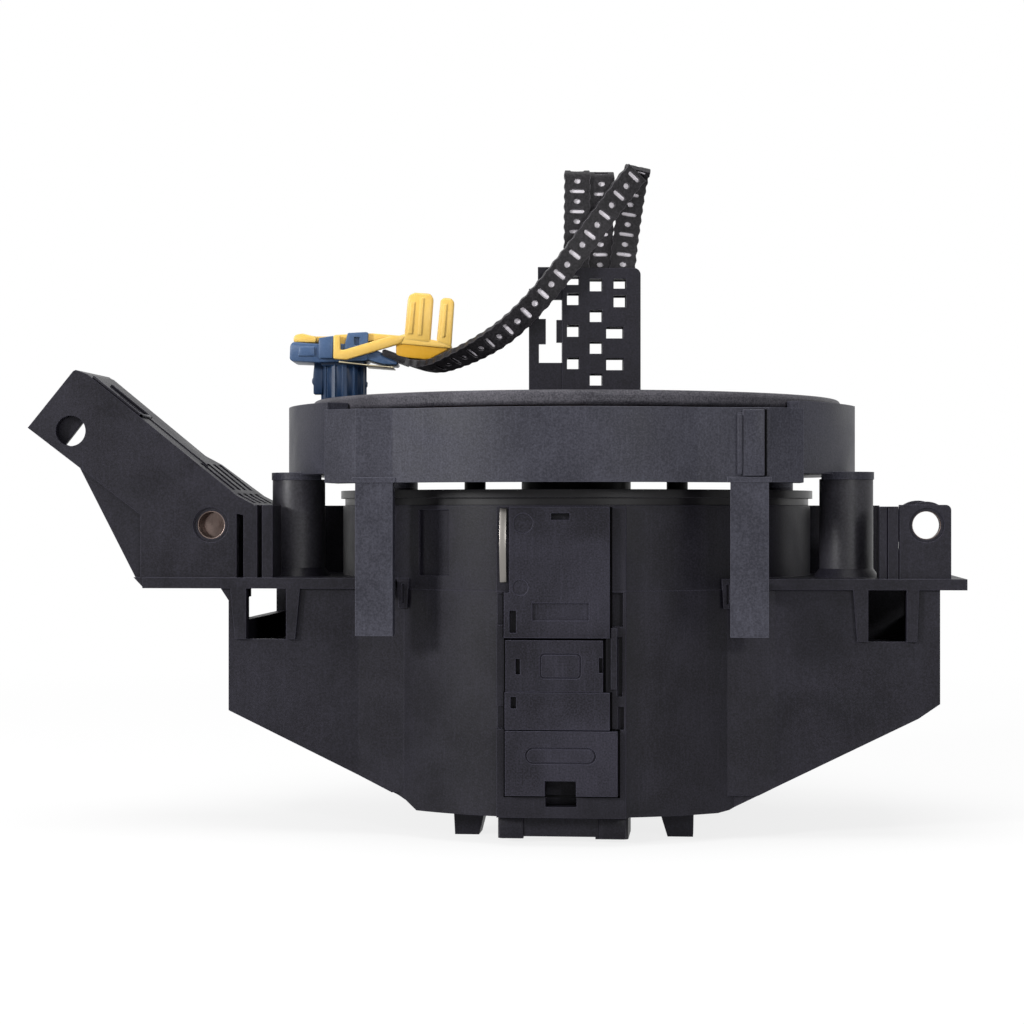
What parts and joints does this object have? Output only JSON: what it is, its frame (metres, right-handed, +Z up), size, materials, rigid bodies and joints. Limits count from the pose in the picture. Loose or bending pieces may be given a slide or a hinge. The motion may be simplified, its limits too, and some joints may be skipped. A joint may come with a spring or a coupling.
{
  "type": "steering clock spring",
  "caption": "Clock spring: ribbon cassette on a winged drum with an arm, a disc that turns with the wheel, and an airbag plug on a flat lead",
  "frame": {"origin": "centre of the column bore's mouth, in the plane of the drum's underside", "axes": "+Z up the steering column towards the wheel, +X from the long arm to the short block, +Y away from the front contact covers"},
  "size_m": [0.174, 0.11, 0.1258],
  "materials": {
    "black_housing": "fine grain",
    "grey_case": "spark eroded texture",
    "black_gloss": "moulded gloss",
    "natural_hub": "fine grain",
    "blue_plug": "satin",
    "yellow_lock": "satin",
    "spring_steel": "bright",
    "tinned_brass": "satin",
    "board_green": "solder resist",
    "lead_black": "ribbed",
    "ribbon_film": "film"
  },
  "bodies": {
    "housing": {"lower_housing": "black_housing", "carrier_frame": "black_housing", "cassette_case": "grey_case", "sensor_lid": "black_gloss", "column_sleeve": "natural_hub", "harness_socket": "black_housing", "socket_terminals": "tinned_brass", "contact_cover_upper": "black_housing", "contact_slide": "black_housing", "contact_bar": "black_housing", "contact_cover_lower": "black_housing", "earth_spring": "spring_steel", "circuit_board": "board_green", "board_chips": "black_gloss", "board_screws": "spring_steel", "light_forks": "black_gloss", "ribbon_cable": "ribbon_film", "ribbon_clip": "natural_hub", "cassette_screws": "spring_steel"},
    "rotor": {"rotor_disc": "grey_case", "wheel_socket_pins": "tinned_brass", "drive_hub": "natural_hub", "code_disc": "natural_hub", "cable_tower": "black_housing", "tower_bracket": "black_gloss", "lead_stack": "lead_black", "lead_cord": "lead_black", "squib_body": "blue_plug", "squib_barrel": "blue_plug", "squib_contacts": "spring_steel"},
    "lock": {"squib_lock": "yellow_lock"}
  },
  "joints": [
    {"name": "rotor_turn", "type": "hinge", "parent": "housing", "child": "rotor", "pos_m": [0, 0, 0.0751], "axis": [0, 0, 1], "range_deg": [-900, 900]},
    {"name": "lock_lift", "type": "slide", "parent": "rotor", "child": "lock", "axis": [0, 0, 1], "range_m": [0, 0.0025]}
  ]
}
